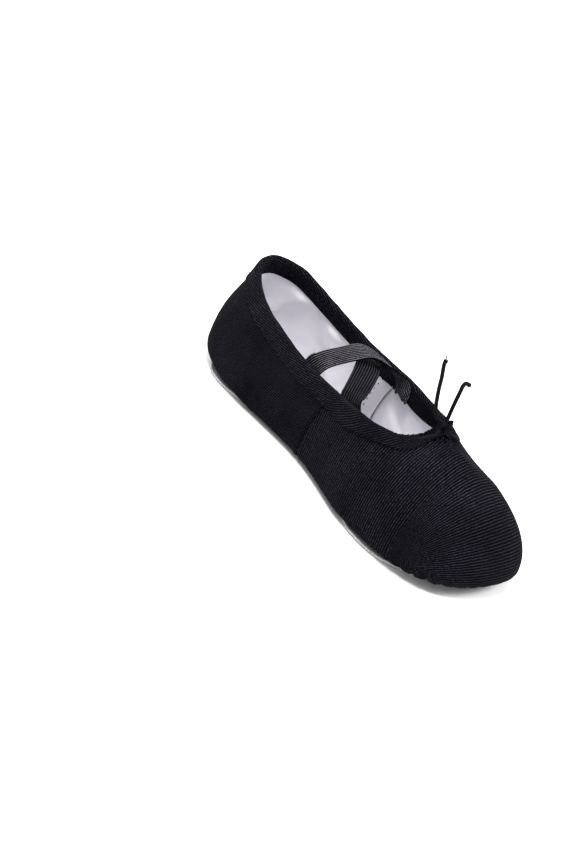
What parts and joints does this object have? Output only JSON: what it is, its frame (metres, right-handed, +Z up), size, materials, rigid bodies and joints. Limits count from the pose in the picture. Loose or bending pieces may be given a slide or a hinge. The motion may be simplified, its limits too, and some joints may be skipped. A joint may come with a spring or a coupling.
{
  "type": "ballet slipper",
  "caption": "Soft canvas split-sole ballet slipper with crossed elastic straps, a drawstring in a bound topline and suede sole patches.",
  "frame": {"origin": "on the floor under the middle of the slipper's length and width, with the slipper standing flat on its two suede soles", "axes": "+X towards the toe, +Y towards the wearer's left, +Z up"},
  "size_m": [0.2296, 0.0792, 0.0883],
  "materials": {
    "canvas": "matte woven cotton canvas, black",
    "lining_cotton": "matte plain-woven cotton, pale lilac white",
    "binding_tape": "herringbone cotton tape, black",
    "seam_tape": "plain cotton tape, pale lilac white",
    "elastic": "ribbed braided elastic, black",
    "cord": "braided cotton cord, black",
    "suede": "napped split suede, pale grey",
    "insole_felt": "needled cotton felt, off-white",
    "black_thread": "spun sewing thread, black",
    "sole_thread": "spun sewing thread, pale grey"
  },
  "bodies": {
    "forefoot": {"vamp_canvas": "canvas", "vamp_lining": "lining_cotton", "topline_binding": "binding_tape", "binding_stitching": "black_thread", "drawstring": "cord", "drawstring_knot": "cord", "drawstring_end_right": "cord", "drawstring_end_left": "cord", "strap_under": "elastic", "strap_tack_under_right": "black_thread", "front_sole_patch": "suede", "front_sole_stitching_outer": "sole_thread", "front_sole_stitching_inner": "sole_thread", "front_insole_pad": "insole_felt", "front_sock": "lining_cotton", "right_seam_tape": "seam_tape", "left_seam_tape": "seam_tape"},
    "heel": {"quarter_canvas": "canvas", "quarter_lining": "lining_cotton", "strap_over": "elastic", "strap_tack_over_right": "black_thread", "strap_tack_over_left": "black_thread", "strap_tack_under_left": "black_thread", "heel_sole_patch": "suede", "heel_sole_stitching_outer": "sole_thread", "heel_sole_stitching_inner": "sole_thread", "heel_insole_pad": "insole_felt", "heel_sock": "lining_cotton"}
  },
  "joints": [
    {"name": "arch_flex", "type": "hinge", "parent": "forefoot", "child": "heel", "pos_m": [-0.012, 0, 0.002], "axis": [0, 1, 0], "range_deg": [0, 40], "deforming": ["vamp_canvas", "quarter_canvas", "vamp_lining", "quarter_lining", "topline_binding", "binding_stitching", "drawstring", "strap_over", "strap_under", "right_seam_tape", "left_seam_tape"]}
  ]
}
